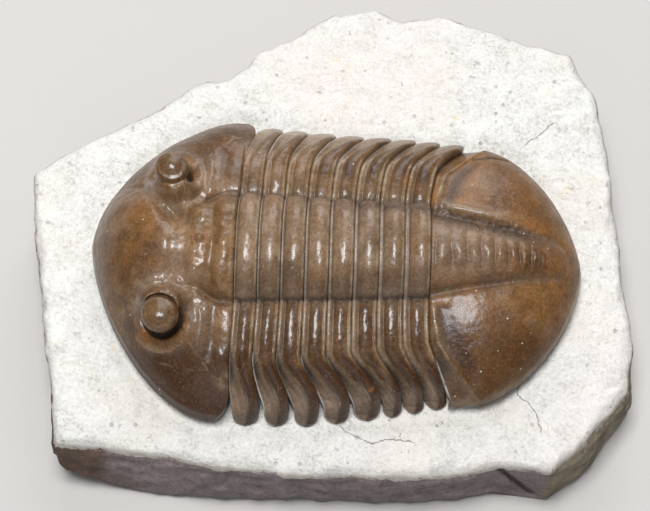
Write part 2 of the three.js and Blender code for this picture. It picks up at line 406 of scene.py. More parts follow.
# thorax: eight overlapping plates
thorax = {
    "count": 8, "headRear": -12.4, "rearX": 14.5, "ringLength": 3.1, "ringGrowth": 0.033,
    "axisHalfFront": 7.9, "axisHalfRear": 6.8, "axisShiftFront": 0.3, "axisShiftRear": 1.1,
    "axisRise": 4.0, "knee": 14.0, "kneeSoftness": 1.3,
    "firstTip": 22.7, "tipLoss": 0.38, "farTipLoss": 0.5, "farTipGain": 0.06, "tipRound": 1.75,
    "farTipRound": 1.6, "tipTaper": 0.985, "tipStraightens": 0.4,
    "nearFirstSweep": 0.4, "nearSweep": 5.2, "farFirstSweep": 1.6, "farSweep": 5.6,
    "furrowFront": 22.8, "furrowRear": 22.0, "tipHeight": slabTop + 1.25,
    "gap": 0.02,            # half the space between neighbours
    "cemented": (1, 3, 4),  # plates with the most pale cement in the joint ahead of them
    "rows": 48, "columns": 320,
}


# at each plate: where the axis lies across the body, half its width and the height of the furrow beside it
def axisAt(k):
    t = thorax
    back = ramp(mix(t["headRear"], t["rearX"], (k + 0.5) / t["count"]), -12, 15)
    shift = mix(t["axisShiftFront"], t["axisShiftRear"], back)
    half = mix(t["axisHalfFront"], t["axisHalfRear"], back)
    return shift, half, mix(t["furrowFront"], t["furrowRear"], back)


# how far a plate reaches from the midline
def tipSide(k, side):
    tip = thorax["firstTip"] - thorax["tipLoss"] * k
    if side > 0:
        return tip + thorax["farTipGain"] * k - thorax["farTipLoss"] + 0.3 * bell(k, 5.0, 2.0)
    return tip + 0.5 * bell(k, 2.0, 1.3) - 0.22 * max(0.0, k - 4.5)


# where the joint ahead of a plate runs; 8 is the joint ahead of the tail
def jointX(k, side):
    t = thorax
    a = abs(side)
    tip = tipSide(k, side)
    inner = 0.55 * ramp(k, 2, 8) * ease(a, 8, 15)
    if side > 0:            # the far plates bend at the knee and keep their slant
        sweep = mix(t["farFirstSweep"], t["farSweep"], ease(k, 0, 5.5))
        beyond = a - t["knee"]
        out = (beyond + math.hypot(beyond, t["kneeSoftness"])) / 2 / (tip - t["knee"])
        swept = (sweep - inner) * out ** 1.25 + inner
        swept -= t["tipStraightens"] * ramp(k, 0, 4) * max(0.0, a - tip + t["farTipRound"])
    else:                   # the near ones swing back in an S and end square to the body
        sweep = mix(t["nearFirstSweep"], t["nearSweep"], ramp(k, 0, 5) ** 0.8) - 0.45 * max(0.0, k - 5)
        start = 15.6 - 0.45 * k
        curve = mix(ease(a, start, tip - 1.2), ramp(a, start, tip - 0.4) ** 1.2, ramp(k, 5, 8))
        swept = (sweep - inner) * curve + inner
    return t["headRear"] + t["ringLength"] * k + t["ringGrowth"] * k * k + swept


# front and rear edge of a plate, drawn together at the tips
def segmentEdges(k, side):
    a = abs(side)
    tip = tipSide(k, side)
    front = jointX(k, side) + thorax["gap"]
    rear = jointX(k + 1, side) - thorax["gap"]
    turn = ramp(a, tip - thorax["farTipRound" if side > 0 else "tipRound"], tip)
    narrowing = (1 - math.sqrt(1 - thorax["tipTaper"] * turn ** 3)) * (rear - front) / 2
    spread = mix(0.38, 0.14, ramp(k, 2, 5)) * ease(a, tip - 4.2, tip - 1.2) * (1 if side < 0 else 0.15)
    lean = mix(1.05, 1.3, ramp(k, 1, 4)) if side > 0 else 1.0
    return front + narrowing * lean + spread, rear - narrowing * (2 - lean) - spread


# the ring over the axis, with a half ring in front that dips under the ring ahead
def ringRelief(k, along, side, beside):
    t = thorax
    shift, half, furrow = axisAt(k)
    x = mix(t["headRear"], t["rearX"], (k + 0.5) / t["count"])
    fromAxis = abs(side - shift)
    share = fromAxis / (fromAxis - beside)
    edge = mix(0.04, 0.14, k / 7.0)
    crown = ramp(along, edge, 1.0) ** (1 + 0.05 * k)
    dip = 1 - ease(along, edge - 0.02, edge + 0.12)
    r = Relief(furrow - 0.25 + t["axisRise"] * (1 - share ** 2.3) ** 0.72)
    r.z += 0.6 * math.sin(math.pi * min(1.0, crown * 1.02)) ** 0.85 - 0.5 * dip
    r.z += 0.1 * dip * math.sin(math.pi * ramp(along, 0, edge))
    r.z -= 0.3 * ramp(along, 0.94, 1.0) ** 2
    worn = bell(side - shift, half - 1.2, 1.0) * ramp(k, 2.5, 5)    # crumbled ends of the last rings
    r.z -= worn * (0.12 + 0.3 * rough(x + 4 * along, side, 0.8, 15 + k))
    r.cement = 0.05 * dip
    r.pale = 1.2 * bell(along, 0.945, 0.045) * (1 - share ** 6)
    # painted shade in the axial furrow, in the groove behind the half ring and at the joint ahead
    r.dirt = 0.8 * bell(beside, 0.0, 0.35) + 0.45 * bell(along, edge + 0.02, 0.03)
    r.dirt += 0.6 * (1 - ramp(along, 0.0, 0.035))
    r.veil = dip * mix(0.2, 0.4, ease(-side, -3, 4))
    r.veil += 0.35 * bell(share, 0.97, 0.14) + 0.28 * (1 - share ** 3)
    # painted shade: the ring's half towards the near side darker
    r.umber = 0.5 * ease(-(side - shift), half * 0.35, half * 0.9)
    r.umber += 0.15 * (1 - dip) * bell(crown, 0.25, 0.25)
    r.umber += 0.8 * worn
    return r


# the side lobe: flat as far as the knee, then bent down and twisted into a facet and a rounded tip
def pleuraRelief(k, along, side, beside):
    t = thorax
    a = abs(side)
    far = side > 0
    tip = tipSide(k, side)
    half, furrow = axisAt(k)[1:]
    calm = (0.35 + 0.08 * k) if far else 1.0        # the far side is worn smoother
    outer = ease(a, 13.0, 16.5)
    inner = 1 - outer
    line = 0.2 + 0.44 * ease(a, 12.5, tip - 0.8)    # front ridge, then the edge of the facet
    main = mix(0.56, 0.74, ease(a, 12.0, tip - 1))  # the main ridge behind it
    broad = math.sin(math.pi * ramp(along, main - 0.27, main + 0.27)) ** 0.45
    d = beside / (tip - half)
    r = Relief(t["tipHeight"] + (furrow - t["tipHeight"]) * max(0.0, 1 - d ** 2.7) ** 0.88)
    r.z -= 0.35 * math.exp(-beside / 0.45)
    r.z += inner * calm * (0.1 * bell(along, 0.1, 0.07) + 0.5 * broad)
    r.z -= calm * 0.4 * bell(along, 0.27, 0.1) * (1 - ease(a, 13, 17))
    r.z += inner * 0.12 * bell(along, 0.92, 0.05)
    r.z -= inner * 0.12 * ((1 - ramp(along, 0, 0.06)) ** 2 + ramp(along, 0.95, 1) ** 2)
    facet = outer * ease(line - along, -0.03, 0.12)
    fall = (0.5 + 0.75 * ease(a, 14, 19)) * (1 - 0.65 * ease(a, tip - 3.0, tip))
    fall *= 0.3 * (1 - ease(a, tip - 4, tip - 1.5)) if far else 1.0
    ending = 1 - 0.8 * ease(a, tip - 2.6, tip - 0.6)        # the tips end like broad fingertips
    r.z -= outer * fall * ending * ramp(line - along, 0, 0.3) ** 0.8
    if along > line:
        r.z += outer * 0.6 * ending * math.sin(math.pi * ramp(along, line, 1.06)) ** 0.8
    recess = bell(a, 16.2, 2.0) * (0.25 if far else 1.0)
    r.z -= 0.55 * recess * (1 - ramp(along, 0.0, 0.3)) ** 1.5
    r.z -= outer * 0.35 * ramp(along, 0.9, 1) ** 2
    r.z -= 0.4 * ease(a, tip - 2.8, tip - 0.5) * abs(2 * along - 1) ** 2.4
    r.z -= 0.8 * ramp(a, tip - 1.2, tip) ** 2
    low = slabTop + 0.12                            # nothing sinks below the rock around it
    r.z = low + (r.z - low + math.hypot(r.z - low, 0.7)) / 2

    r.pale = inner * calm * (0.5 * bell(along, 0.93, 0.07) + 0.4 * bell(along, 0.07, 0.07))
    r.pale += 0.5 * bell(along, line, 0.03) * outer * (1 - ease(a, tip - 2, tip - 0.6))
    r.veil = (0.5 if far else 0.65) * facet + 0.4 * math.exp(-beside / 1.1) * (1 - bell(along, main, 0.12))
    r.veil += inner * (0.25 * bell(along, 0.14, 0.1) if far else 0.5 * (1 - ramp(along, 0.18, 0.3)))
    r.umber = (0.75 + 0.45 * outer) * bell(along, main + 0.02, 0.26) * (1 - facet)
    r.umber *= 0.35 if far else 1.0
    # painted shade in the pleural furrow and along the axial furrow
    r.dirt = 0.35 * bell(along, 0.3, 0.06) * (1 - ease(a, 13, 17)) * calm + 0.8 * math.exp(-beside / 0.25)
    if far:
        r.pale += 0.5 * ease(a, tip - 4, tip - 1.5) * (1 - ramp(k, 1, 4))
        r.pale += 0.5 * ramp(k, 2, 4) * bell(along, 0.12, 0.1) * bell(a, 12.5, 3.5)
        r.umber += 0.8 * ramp(k, 2, 4) * bell(along, 0.55, 0.22) * bell(a, 13.0, 2.4)
    else:
        # painted shade: the near-side outer slopes darker
        r.umber += 0.22 * outer
        r.umber += 0.45 * ease(a, 15, 19) * (1 - 0.6 * facet)
        r.dirt += 0.4 * ease(a, tip - 2.2, tip - 0.4)
    # painted shadow in the recess at the knee, under the rear edge of the plate ahead
    r.dirt += 1.3 * recess * (1 - ramp(along, 0.06, 0.36))
    joined = 1.0 if k in t["cemented"] else 0.3
    seam = 1.3 * bell(along, 0.0, 0.036) * ease(a, 14, 15.5) * (1 - 0.5 * ease(a, tip - 2.5, tip - 1.2))
    r.cement = seam * joined * (0.5 if far else 0.9) * (1 - 0.6 * ease(a, tip - 3.5, tip - 2.0))
    r.dirt = max(0.0, r.dirt - 2 * r.cement)
    return r


# relief of a plate over its own length, along 0 to 1
def segmentRelief(k, along, side):
    shift, half = axisAt(k)[:2]
    beside = abs(side - shift) - half - 0.25 * math.sin(math.pi * along)
    if beside < 0:
        return ringRelief(k, along, side, beside)
    return pleuraRelief(k, along, side, beside)


def buildSegment(k, material):
    t = thorax
    bm = gridSheet(t["rows"], t["columns"])
    marks = addMarks(bm)
    for v in bm.verts:
        along = (v.co.x + 1) / 2
        side = math.sin(v.co.y * math.pi / 2)
        side *= tipSide(k, side)
        front, rear = segmentEdges(k, side)
        r = segmentRelief(k, along, side)
        px, py = onBody(mix(front, rear, along), side)
        r.z += 0.12 * rough(px, py, 3.2, 2 + k) + 0.06 * rough(px, py, 1.1, 5) + 0.025 * rough(px, py, 0.5, 8)
        v.co = (px, py, r.z)
        setMarks(v, marks, r)
        v[marks["pale"]] *= 0.8 + 0.9 * rough(px, py, 1.8, 13 + k)
        v[marks["umber"]] *= 1.0 + 0.6 * rough(px, py, 2.6, 14 + k)
        bend = ease(abs(side), 8, 13) * (1 - ease(abs(side), 18, 21))
        axisEdge = bell(side, 6.8, 1.2) * ramp(k, 3, 5)
        v[marks["rust"]] = (0.95 if side > 0 else 0.6) * bend + 0.15 + 0.6 * axisEdge
    closeBelow(bm, body["foot"], (jointX(k + 0.5, 0), body["midlineY"]), 0.02, marks["dirt"])
    number = str(k + 1)
    makePiece(bm, "thorax_plate_" + number, "thoracic_segment_" + number, material)


# head shield with its two stalked eyes
head = {
    "centre": -14.5, "length": 19.4, "half": 22.7, "genalStart": 19.5, "farGenalStart": 18.6,
    "margin": 1.5, "dome": 23.3,
    "lobeCentre": -25.2, "lobeRear": 6.6, "lobeFront": 8.0, "lobeRise": 2.5,
    "knobX": -17.3, "knobSide": 0.1,
    "eyeX": -22.0, "eyeSide": 10.4, "farEyeSide": 10.1, "eyeReach": 4.6, "eyeTop": 27.1,
    "eyeLean": 0.16, "farEyeLean": 0.07, "farEyeSlim": 0.92,
    "sutures": [
        [(-20.2, 10.8), (-19.2, 12.0), (-18.3, 13.0), (-17.0, 14.8), (-15.7, 16.3), (-14.4, 17.7),
         (-12.9, 18.2)],
        [(-24.9, 9.6), (-27.4, 8.2), (-30.0, 6.8)],
    ],
    "cheekVein": [(-22.0, 16.2), (-19.8, 16.6), (-17.6, 17.0), (-16.2, 17.1)],
    "folds": [              # small folds around the eyes and cheeks: path, height, width
        ([(-25.2, 13.2), (-23.4, 14.6), (-21.2, 14.9), (-19.2, 13.9)], 0.2, 0.5),
        ([(-19.2, 7.2), (-18.2, 8.8), (-18.1, 10.8), (-18.5, 12.4)], 0.3, 0.45),
        ([(-25.6, 8.2), (-25.9, 10.0), (-25.2, 12.0)], 0.22, 0.5),
        ([(-20.4, 5.2), (-19.2, 6.4), (-17.6, 6.6)], 0.3, 0.5),
        ([(-23.4, 5.6), (-21.6, 5.3), (-20.0, 4.4)], 0.25, 0.55),
        ([(-16.9, 9.0), (-16.6, 11.5), (-16.9, 13.6)], 0.18, 0.3),
    ],
    "rows": 170, "columns": 340,
}

# an eye from its socket's rim to its crown: share of the reach, radius, height over the foot;
# outside it stands free on its stalk, inside the brow climbs up to it and ends in a fold
crown = [(0.31, 2.62, 3.6), (0.25, 2.55, 4.3), (0.2, 2.25, 4.9), (0.175, 1.98, 5.12), (0.155, 1.8, 5.19),
         (0.135, 1.62, 5.24), (0.11, 1.38, 5.38), (0.06, 0.78, 5.65), (0.0, 0.0, 5.8)]
eyeOutside = [(1.0, 4.6, 0.0), (0.86, 3.85, 0.1), (0.76, 3.3, 0.2), (0.69, 2.95, 0.0), (0.64, 2.65, -0.5),
              (0.6, 2.3, -0.75), (0.55, 2.0, -0.2), (0.48, 2.0, 1.2), (0.43, 2.15, 2.2),
              (0.37, 2.5, 2.9)] + crown
eyeInside = [(1.0, 4.6, 0.0), (0.9, 4.25, 0.6), (0.8, 3.9, 1.3), (0.72, 3.62, 2.1), (0.66, 3.4, 2.8),
             (0.6, 3.2, 3.35), (0.54, 3.02, 3.75), (0.48, 2.86, 4.0), (0.43, 2.75, 3.95),
             (0.37, 2.66, 3.8), (0.31, 2.58, 4.0)] + crown[1:]
farEyeInside = [(1.0, 4.6, 0.0), (0.9, 4.25, 0.7), (0.8, 3.9, 1.5), (0.7, 3.5, 2.5), (0.6, 3.15, 3.35),
                (0.5, 2.9, 4.0), (0.4, 2.7, 4.5), (0.31, 2.55, 4.85), (0.25, 2.4, 5.05),
                (0.2, 2.2, 5.15)] + crown[3:]
crownHeight = crown[-1][2]


def alongProfile(profile, share):
    for (s1, r1, h1), (s0, r0, h0) in zip(profile, profile[1:]):
        if share >= s0:
            t = ramp(share, s0, s1)
            return mix(r0, r1, t), mix(h0, h1, t)
    return profile[-1][1:]


def headEdges(side):
    h = head
    a = abs(side)
    front = h["centre"] - h["length"] * outlineLength(a / h["half"])
    start = h["farGenalStart"] if side > 0 else h["genalStart"]
    turn = ramp(a, start, h["half"])
    rear = jointX(0, min(a, start + 1.5) * (1 if side > 0 else -1)) - thorax["gap"]
    return front, h["centre"] + (rear - h["centre"]) * math.sqrt(1 - turn ** 2)


def domeHeight(reach, margin, top):
    return margin + (top - margin) * max(0.0, 1 - reach ** 2.6) ** 0.6


# frontal lobe of the glabella, pear shaped, its narrow end to the rear
def raiseFrontLobe(r, x, side):
    h = head
    s = side + 0.2
    lobeHalf = mix(9.2, 3.4, ease(x, -27.5, -18.5))
    lengthwise = (x - h["lobeCentre"]) / (h["lobeRear"] if x > h["lobeCentre"] else h["lobeFront"])
    inLobe = max(0.0, 1 - (abs(s) / lobeHalf) ** 2.4) * max(0.0, 1 - abs(lengthwise) ** 2.6)
    r.z += h["lobeRise"] * inLobe * mix(1.15, 0.7, ramp(-x, 22, 32))
    r.z += 0.5 * bell(x, -21.6, 1.9) * bell(s, -0.9, 2.4)
    grooveSide = mix(8.2, 3.0, ease(x, -27.5, -19.2))
    groove = bell(abs(side), grooveSide, 1.1) * ease(x, -28.0, -25.0) * (1 - ease(x, -19.6, -18.4))
    r.z -= 0.3 * groove
    # grey veil in the groove, and painted sheen over the glabella's middle
    r.veil += 0.25 * groove + 0.6 * bell(x, -20.6, 3.0) * bell(s, -1.5, 4.5)


# rear part of the glabella: median knob, side lobes, neck furrow and neck ring
def raiseNeck(r, x, side):
    h = head
    a = abs(side)
    behind = ease(x, -21.5, -18.0)
    rearHalf = mix(6.2, 7.8, ease(x, -18, -14))
    fromAxis = abs(side - 0.2)
    r.z += 2.9 * behind * max(0.0, 1 - (fromAxis / rearHalf) ** 2.6) ** 0.75
    r.z += 0.4 * bell(x, -17.5, 1.4) * bell(a, 4.4, 1.6) - 0.2 * bell(x, -17.6, 0.9) * bell(a, 2.6, 0.7)
    r.z -= 0.35 * bell(x, -19.3, 0.8) * bell(a, 0, 4.5)
    fromKnob = math.hypot(x - h["knobX"], side - h["knobSide"])
    r.z += 0.7 * bell(fromKnob, 0.0, 0.4) + 0.15 * bell(fromKnob, 0.0, 1.0)
    # painted highlight on the knob's top and painted shade in the ring around it
    r.pale += 0.7 * bell(fromKnob, 0.0, 0.3)
    r.dirt += 0.6 * bell(fromKnob, 0.62, 0.16)
    r.rust += 0.9 * bell(fromKnob, 0.7, 0.5) + 0.7 * bell(fromKnob, 0.0, 3.5)
    wander = 0.4 * math.sin(side * 0.6 + 1.0)
    neck = bell(x, -15.6 + wander, 0.8) * (1 - ease(fromAxis, 6.0, 8.0)) * (0.5 + 0.5 * ease(-side, -3, 2))
    r.z -= 0.38 * neck
    ring = ramp(x, -15.6, -12.5)
    r.z += 0.4 * math.sin(math.pi * ring) ** 0.8 * (1 - ease(fromAxis, 6.8, 7.8))
    axisSide = bell(fromAxis, rearHalf + 0.2, 0.6) * ease(x, -18.6, -16.0)
    r.z -= 0.4 * axisSide
    # painted shade in the neck furrow and the grooves beside the glabella
    r.dirt += 0.2 * neck + 0.5 * axisSide
    r.pale += 0.4 * bell(x, -12.9, 0.25) * (1 - ease(a, 6, 8))


# ridges and furrows behind the eye, along the rear border
def shapeRearBorder(r, x, side):
    a = abs(side)
    border = ease(a, 7.6, 9.2)
    worn = 0.55 if side > 0 else 1.0
    r.z += worn * border * 0.2 * bell(x, -13.6, 1.2) * (1 - ease(a, 15, 19))
    r.z -= worn * border * 0.25 * bell(x, -15.0, 0.8) * (1 - ease(a, 13.5, 17.5))
    ridge = border * bell(x, -16.6 - 0.05 * (a - 11), 1.0) * (1 - ease(a, 12.5, 16.5))
    r.z += worn * 0.4 * ridge
    r.z -= worn * border * 0.2 * bell(x, -18.4, 0.8) * (1 - ease(a, 12.0, 14.5))
    r.veil += 0.35 * ridge + 0.3 * border * (1 - ease(a, 12, 16)) * ease(x, -19, -17)
    # painted shade in the furrow along the rear border
    r.dirt += border * 0.3 * bell(x, -15.3, 0.35) * (1 - ease(a, 14.5, 17))


# swollen ground and little folds around the eyes
def swellAroundEyes(r, x, side):
    h = head
    a = abs(side)
    fromEye = math.hypot(x - h["eyeX"], a - (h["farEyeSide"] if side > 0 else h["eyeSide"]))
    r.z += 0.5 * bell(fromEye, 3.6, 2.0) + 0.8 * bell(math.hypot(x - h["eyeX"] - 0.5, a - 7.2), 0, 2.2)
    r.rust += 0.8 * bell(fromEye, 3.4, 0.8)
    r.veil += (0.3 if side > 0 else 0.55) * bell(fromEye, 4.4, 1.6) * (1 - ease(a, 9.5, 12))
    r.z += 0.2 * rough(x, side, 0.9, 23) * bell(fromEye, 4.8, 2.0) * (1 - ease(a, 9, 12))
    r.z += 0.12 * rough(x, side, 1.1, 24) * ease(x, -21.5, -18.0) * (1 - ease(a, 7, 9))
    for path, height, width in h["folds"]:
        fold = bell(awayFrom(path, x, a), 0, width)
        r.z += height * fold
        r.veil += 0.3 * fold


# hairline sutures, a pale vein and a pale patch on the near cheek
def drawSutures(r, x, side):
    a = abs(side)
    suture = min(awayFrom(path, x, a) for path in head["sutures"])
    broken = ease(rough(x, side, 1.6, 21), -0.25, 0.25)
    r.z -= 0.08 * bell(suture, 0, 0.16) * broken
    r.pale += (0.1 if side > 0 else 0.25) * bell(suture, 0, 0.11) * broken
    if side < 0:
        r.pale += 0.25 * bell(awayFrom(head["cheekVein"], x, a), 0, 0.12) * broken
        r.pale += 0.45 * bell(math.hypot(x + 13.0, a - 18.1), 0, 1.1)


def headRelief(x, side):
    h = head
    a = abs(side)
    reach = outlineReach(max(0.0, h["centre"] - x) / h["length"], a / h["half"])
    r = Relief(domeHeight(reach, slabTop + h["margin"], h["dome"]))
    raiseFrontLobe(r, x, side)
    raiseNeck(r, x, side)
    shapeRearBorder(r, x, side)
    swellAroundEyes(r, x, side)
    drawSutures(r, x, side)
    r.z -= 0.22 * ease(x, -12.8, -12.4) ** 2 * (1 - ease(a, 14, 18))
    r.z += 0.16 * bell(reach, 0.975, 0.012)
    # painted shade along the margin where the shield meets the rock
    r.dirt += 0.5 * ease(reach, 0.985, 1.0)
    # dark brown at the front and on the far side, and painted shade darkening the near side
    r.umber = 1.1 * ease(-side, 10.5, 16.5) + 0.35 * ease(-x, 27, 33) + 0.5 * ease(side, 8, 14)
    return r


# lifts a point of the shield near an eye on to the eye's stalk or crown, and says where it then lies
def raiseEye(r, x, side):
    h = head
    far = side > 0
    outward = 1.0 if far else -1.0
    eyeSide = outward * (h["farEyeSide"] if far else h["eyeSide"])
    dx, ds = x - h["eyeX"], side - eyeSide
    away = math.hypot(dx, ds)
    share = away / h["eyeReach"]
    if share >= 1:
        return x, side
    foot = headRelief(h["eyeX"], eyeSide).z
    inside = ease(-outward * ds / max(away, 1e-6), -0.1, 0.75)
    free = alongProfile(eyeOutside, share)
    brow = alongProfile(farEyeInside if far else eyeInside, share)
    radius, height = mix(free[0], brow[0], inside), mix(free[1], brow[1], inside)
    if far:
        radius *= mix(h["farEyeSlim"], 1.0, ramp(share, 0.6, 1.0))
    height *= (h["eyeTop"] - foot) / crownHeight if height > 0.3 else 1
    if not far:             # the brow over the near eye is a crumpled fold
        height += inside * bell(share, 0.5, 0.07) * (0.2 + 0.5 * rough(x, side, 1.1, 33))
        # painted shade in the slit under the brow
        r.dirt += 0.7 * ease(inside, 0.9, 1.0) * bell(share, 0.39, 0.025)
    grow = radius / max(away, 1e-6)
    x = h["eyeX"] + dx * grow
    side = eyeSide + ds * grow
    ground = headRelief(x, side).z
    r.z = mix(foot, ground, ease(share, 0.35, 0.8)) + height
    # painted shade in the trough around the stalk
    r.dirt += (1 - inside) * bell(share, 0.6, 0.07)
    r.pale = 0.2 * bell(share, 0.18, 0.03) + 0.35 * ramp(share, 0.14, 0.0)
    r.pale += 0.35 * inside * bell(share, 0.5, 0.05)
    r.veil *= ramp(share, 0.5, 0.9)
    r.umber = 0.35 * ramp(share, 0.5, 0.3)
    return x, side + outward * (h["farEyeLean"] if far else h["eyeLean"]) * max(0, height)


def buildHead(material):
    h = head
    bm = gridSheet(h["rows"], h["columns"])
    for v in bm.verts:
        along = ((v.co.x + 1) / 2) ** 1.2
        side = (h["half"] - 0.03) * math.sin(v.co.y * math.pi / 2)
        front, rear = headEdges(side)
        v.co = (mix(front, rear, along), side, 0)
    close = [f for f in bm.faces
             if math.hypot(f.calc_center_median().x - h["eyeX"],
                           abs(f.calc_center_median().y) - h["eyeSide"]) < h["eyeReach"] * 0.74]
    edges = list({e for f in close for e in f.edges})
    bmesh.ops.subdivide_edges(bm, edges=edges, cuts=1, use_grid_fill=True)
    marks = addMarks(bm)
    for v in bm.verts:
        r = headRelief(v.co.x, v.co.y)
        px, py = onBody(*raiseEye(r, v.co.x, v.co.y))
        r.z += 0.18 * rough(px, py, 3.6, 1) + 0.07 * rough(px, py, 1.3, 4) + 0.025 * rough(px, py, 0.5, 7)
        v.co = (px, py, r.z)
        setMarks(v, marks, r)
    closeBelow(bm, body["foot"], (h["centre"] - 5, body["midlineY"]), 0.5, marks["dirt"])
    makePiece(bm, "head_shield", "cephalon", material)


# tail shield
tail = {
    "centre": 22.0, "length": 14.7, "half": 19.4, "corner": 19.3,
    "margin": 1.7, "dome": 22.5, "axisShiftFront": 0.75, "axisShiftRear": 0.3,
    "axisStart": 14.7, "axisEnd": 34.4, "axisHalf": 6.1, "axisEndHalf": 2.3,
    "axisRise": 3.5, "axisEndRise": 0.9, "ringsFrom": 16.2, "ringLength": 2.35, "farFurrowEnd": 34.0,
    "facetLine": [(15.8, 12.0), (18.0, 14.7), (20.6, 17.3), (22.4, 19.0)],
    "fieldCrack": [(20.6, 16.4), (23.0, 16.9), (25.6, 16.9)],
    "rows": 190, "columns": 260,
}


# place across the tail's axis and half its width there
def acrossTailAxis(x, side):
    t = tail
    taper = ramp(x, t["axisStart"], t["axisEnd"])
    blunt = math.sqrt(max(0.0, 1 - ramp(x, t["axisEnd"] - 2.4, t["axisEnd"]) ** 2))
    half = mix(t["axisHalf"], t["axisEndHalf"], taper ** 0.85) * mix(0.5, 1.0, blunt)
    return side - mix(t["axisShiftFront"], t["axisShiftRear"], taper), half


# the axis tapers back in rings and ends bluntly before the margin
def raiseTailAxis(r, x, side):
    t = tail
    s, half = acrossTailAxis(x, side)
    taper = ramp(x, t["axisStart"], t["axisEnd"])
    blunt = math.sqrt(max(0.0, 1 - ramp(x, t["axisEnd"] - 2.4, t["axisEnd"]) ** 2))
    fading = 1 - 0.6 * ease(x, 28, 33.5)
    inAxis = max(0.0, 1 - (abs(s) / half) ** 2.0)
    r.z += mix(t["axisRise"], t["axisEndRise"], taper ** 1.3) * inAxis ** 0.75 * blunt * fading
    furrow = bell(abs(s), half + 0.15, 0.5) * (1 - ease(x, t["axisEnd"] - 2, t["axisEnd"]))
    r.z -= 0.3 * furrow
    # painted shade in the axial furrow
    r.dirt += 0.3 * furrow
    r.veil += 0.5 * furrow
    count = (x - t["ringsFrom"]) / t["ringLength"] + 0.0085 * max(0.0, x - t["ringsFrom"]) ** 2
    count += 0.12 * rough(x, side, 2.0, 30)
    wave = 2 * abs(math.cos(math.pi * count)) - 1.1 + 0.4 * rough(x, side, 1.2, 31)
    strength = inAxis ** 0.5 * (1 - ease(x, 29.0, 32.5)) * (0.3 + 0.7 * bell(s, -1.2, 1.6))
    r.z += 0.3 * strength * wave
    # painted shade in the troughs between the rings
    r.dirt += 0.4 * strength * max(0.0, -wave)
    r.veil += 0.75 * (1 - ease(x, 21, 29)) * inAxis ** 0.5


# front border ridge, the furrow behind it and the smooth facet at each corner
def shapeFrontBorder(r, x, side, fromJoint):
    a = abs(side)
    line = 1.5 + 0.27 * (a - 6.2)
    lobes = ease(a, 6.4, 7.4)
    r.z += lobes * 0.3 * bell(fromJoint, line * 0.42, 0.5) * (1 - ease(a, 13, 16))
    r.z -= lobes * 0.22 * bell(fromJoint, line, 1.2) * (1 - ease(a, 13.5, 16.5))
    r.pale += lobes * 0.4 * bell(fromJoint, line * 0.42, 0.35) * (1 - ease(a, 12, 15))
    r.veil += lobes * 0.4 * bell(fromJoint, line * 0.6, 0.8) * (1 - ease(a, 12.5, 16.5))
    # painted shade in the border furrow
    r.dirt += lobes * 0.12 * bell(fromJoint, line + 0.2, 1.0) * (1 - ease(a, 13.5, 16.5))
    away = awayFrom(tail["facetLine"], x, a)
    r.z += 0.25 * bell(away, 0, 0.3) * ease(a, 12, 14)
    r.pale += 0.3 * bell(away, 0, 0.25) * ease(a, 12, 14)
    edgeX = mix(15.8, 22.4, ramp(a, 12.0, 19.0))
    facet = ease(edgeX - x, 0.0, 0.7) * ease(a, 12.5, 14.5)
    r.z -= 0.75 * facet * ramp(edgeX - x, 0, 2.5)
    r.veil += 0.3 * facet
    # dark brown on the far rear field, and painted shade darkening the near field
    r.umber = 0.62 * ease(-side, 6.5, 12) + 0.25 * ease(side, 5, 9) * bell(x, 27, 5)
    r.umber += lobes * 0.8 * bell(fromJoint, line + 0.2, 1.2) * (1 - ease(a, 13.5, 16.5))
    # painted shadow in the recess at the corner, under the last plate
    r.dirt += 1.1 * bell(a, 14.9, 1.5) * bell(fromJoint, 0.4, 0.9) * (1.0 if side < 0 else 0.3)


# broken, rusty strip along the left axial furrow, with the field's raised lip beside it, painted with a
# highlight, and a crack
def breakFarFurrow(r, x, side):
    s, half = acrossTailAxis(x, side)
    whole = 1 - 0.85 * ease(x, 24, tail["farFurrowEnd"])
    crumbs = 0.5 + rough(x, side, 0.7, 9)
    strip = bell(s, half - 0.5, 1.45) * whole
    r.z -= strip * (0.3 + 0.35 * crumbs)
    r.rust += 0.7 * strip
    r.umber += 1.4 * strip
    r.dirt += 0.4 * strip * crumbs
    lip = bell(s, half + 1.75, 0.7) * ease(x, 15.5, 17) * (1 - ease(x, 22, 29))
    r.z += 0.45 * lip
    # painted highlight over the lip's crest
    r.pale += 0.4 * lip
    r.veil += 0.6 * lip
    crack = bell(awayFrom(tail["fieldCrack"], x, side), 0, 0.25)
    r.z -= 0.2 * crack
    r.dirt += 0.8 * crack


def tailRelief(x, side):
    t = tail
    a = abs(side)
    reach = outlineReach(max(0.0, x - t["centre"]) / t["length"], a / t["half"])
    fromJoint = x - jointX(thorax["count"], side)
    r = Relief(domeHeight(reach, slabTop + t["margin"], t["dome"]))
    raiseTailAxis(r, x, side)
    shapeFrontBorder(r, x, side, fromJoint)
    if side > 0:
        breakFarFurrow(r, x, side)
    r.z += 0.12 * bell(reach, 0.97, 0.015)
    r.pale += 0.3 * ease(reach, 0.93, 0.98)
    # painted shade along the margin where the shield meets the rock
    r.dirt += 0.7 * ease(reach, 0.99, 1.0)
    r.z -= 0.4 * (1 - ramp(fromJoint, 0, 0.35)) ** 2
    r.cement = bell(fromJoint, 0.04, 0.08) * ease(a, 13.5, 15) * (1 - ease(a, 17.5, 19))
    return r


